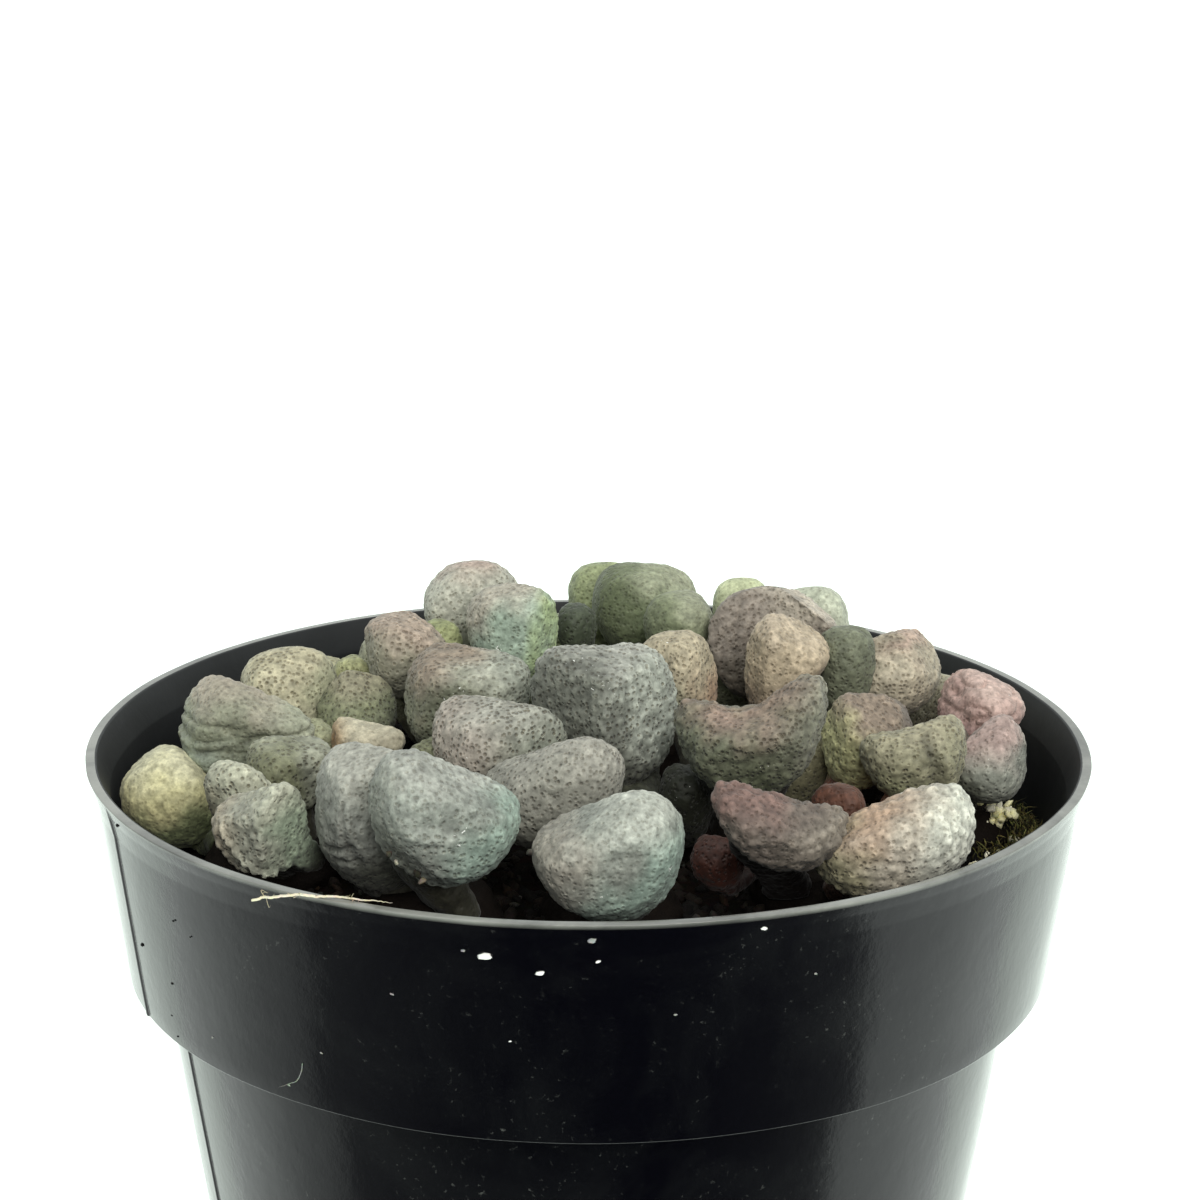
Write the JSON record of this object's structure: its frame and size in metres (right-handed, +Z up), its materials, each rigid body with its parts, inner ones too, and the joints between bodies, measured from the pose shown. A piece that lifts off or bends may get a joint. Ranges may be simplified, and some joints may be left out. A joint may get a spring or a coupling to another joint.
{
  "type": "potted aloinopsis",
  "caption": "Small clump of warty club-shaped succulent leaves growing in soil in a round black plastic nursery pot with a deep collar.",
  "frame": {"origin": "middle of the pot's underside, on the surface that the pot stands on", "axes": "+Z up along the pot's axis, -Y to the picture's front, +X to its right"},
  "size_m": [0.09, 0.09, 0.0902],
  "materials": {
    "pot_plastic": "black injection-moulded polypropylene, satin gloss, dusty and lightly scuffed",
    "soil": "dark peat with grit and perlite, rough and matt",
    "head_front_leaf": "succulent leaf skin, matt and waxy, covered in fine warts",
    "head_front_left_leaf": "succulent leaf skin, matt and waxy, covered in fine warts",
    "head_left_leaf": "succulent leaf skin, matt and waxy, covered in fine warts",
    "head_rear_left_leaf": "succulent leaf skin, matt and waxy, covered in fine warts",
    "head_middle_left_leaf": "succulent leaf skin, matt and waxy, covered in fine warts",
    "head_rear_leaf": "succulent leaf skin, matt and waxy, covered in fine warts",
    "head_middle_right_leaf": "succulent leaf skin, matt and waxy, covered in fine warts",
    "head_rear_right_leaf": "succulent leaf skin, matt and waxy, covered in fine warts",
    "head_front_right_leaf": "succulent leaf skin, matt and waxy, covered in fine warts",
    "head_right_leaf": "succulent leaf skin, matt and waxy, covered in fine warts"
  },
  "bodies": {
    "root": {"pot": "pot_plastic", "soil": "soil", "head_front": "head_front_leaf", "head_front_left": "head_front_left_leaf", "head_left": "head_left_leaf", "head_rear_left": "head_rear_left_leaf", "head_middle_left": "head_middle_left_leaf", "head_rear": "head_rear_leaf", "head_middle_right": "head_middle_right_leaf", "head_rear_right": "head_rear_right_leaf", "head_front_right": "head_front_right_leaf", "head_right": "head_right_leaf"}
  },
  "joints": []
}
